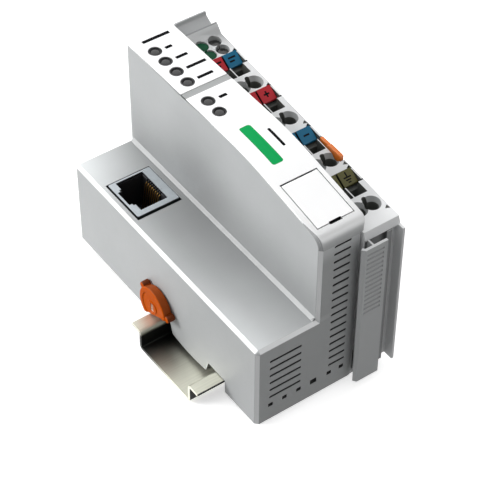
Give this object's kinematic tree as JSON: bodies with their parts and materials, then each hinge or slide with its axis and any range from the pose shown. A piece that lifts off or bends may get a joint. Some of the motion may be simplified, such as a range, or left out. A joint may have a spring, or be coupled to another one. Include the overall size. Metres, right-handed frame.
{
  "type": "industrial network head module",
  "caption": "Rail-mounted controller head module: low shelf with a network socket, tall front cover with indicators and a service flap, clamp terminals, orange rail lock.",
  "frame": {"origin": "middle of the back of the whole part, with its rail piece, in the plane that the rail's back lies in", "axes": "+X across the width from the network socket side to the terminal side, +Y along the module's height from the bottom end (finger strip) to the top end, +Z from the rail to the module's front"},
  "size_m": [0.0604, 0.1, 0.0714],
  "materials": {
    "cover": "smooth matt",
    "housing": "fine matt",
    "window": "smoked, glossy",
    "green_window": "tinted, glossy",
    "red_marker": "matt",
    "blue_marker": "matt",
    "earth_marker": "matt",
    "orange": "satin",
    "steel": "satin",
    "rail": "passivated zinc, satin",
    "copper": "tinned copper alloy",
    "gold": "gold plated",
    "board": "solder resist",
    "dark": "matt"
  },
  "bodies": {
    "housing": {"back_cover": "housing", "bus_bar_0v": "copper", "bus_bar_24v": "copper", "bus_bar_earth": "copper", "bus_bar_minus": "copper", "bus_bar_plus": "copper", "clamp_spring_1": "steel", "clamp_spring_2": "steel", "clamp_spring_3": "steel", "clamp_spring_4": "steel", "clamp_spring_5": "steel", "clamp_spring_6": "steel", "clamp_spring_7": "steel", "clamp_spring_8": "steel", "data_contacts": "gold", "earth_spring": "steel", "finger_strip": "housing", "front_cover": "cover", "indicator_board": "board", "jack_contacts": "gold", "jack_insert": "dark", "jack_shield": "steel", "main_board": "board", "marker_1": "red_marker", "marker_2": "red_marker", "marker_3": "blue_marker", "marker_4": "earth_marker", "marker_5": "blue_marker", "marker_6": "red_marker", "marker_7": "blue_marker", "marker_8": "earth_marker", "network_chip": "dark", "network_transformer": "dark", "power_contact_1": "copper", "power_contact_2": "copper", "power_contact_3": "copper", "processor_chip": "dark", "riser_board": "board", "shelf_housing": "housing", "status_window_1": "window", "status_window_2": "window", "status_window_3": "window", "status_window_4": "window", "status_window_5": "window", "status_window_6": "window", "supply_capacitor_1": "dark", "supply_capacitor_2": "dark", "supply_window_1": "green_window", "supply_window_2": "green_window", "supply_window_3": "window", "supply_window_4": "window", "terminal_board": "board", "terminal_housing": "housing", "tower_housing": "housing"},
    "locking_disc": {"locking_disc": "orange"},
    "rail_latch": {"rail_latch": "steel"},
    "service_flap": {"service_flap": "cover"},
    "release_lug": {"release_lug": "orange"},
    "mounting_rail": {"mounting_rail": "rail"}
  },
  "joints": [
    {"name": "disc_turn", "type": "hinge", "parent": "housing", "child": "locking_disc", "pos_m": [-0.0228, 0.003, 0.012], "axis": [1, 0, 0], "range_deg": [0, 45]},
    {"name": "latch_slide", "type": "slide", "parent": "housing", "child": "rail_latch", "axis": [0, 1, 0], "range_m": [0, 0.00265]},
    {"name": "flap_hinge", "type": "hinge", "parent": "housing", "child": "service_flap", "pos_m": [0.00885, -0.0251, 0.06824], "axis": [-1, 0, 0], "range_deg": [0, 100]},
    {"name": "lug_pull", "type": "slide", "parent": "housing", "child": "release_lug", "axis": [0, 0, 1], "range_m": [0, 0.003], "stiffness_N_per_m": 300},
    {"name": "rail_slide", "type": "slide", "parent": "housing", "child": "mounting_rail", "axis": [-1, 0, 0], "range_m": [0, 0.062]}
  ],
  "couplings": [
    {"joint": "disc_turn", "follows": "latch_slide", "rad_per_m": 294}
  ]
}
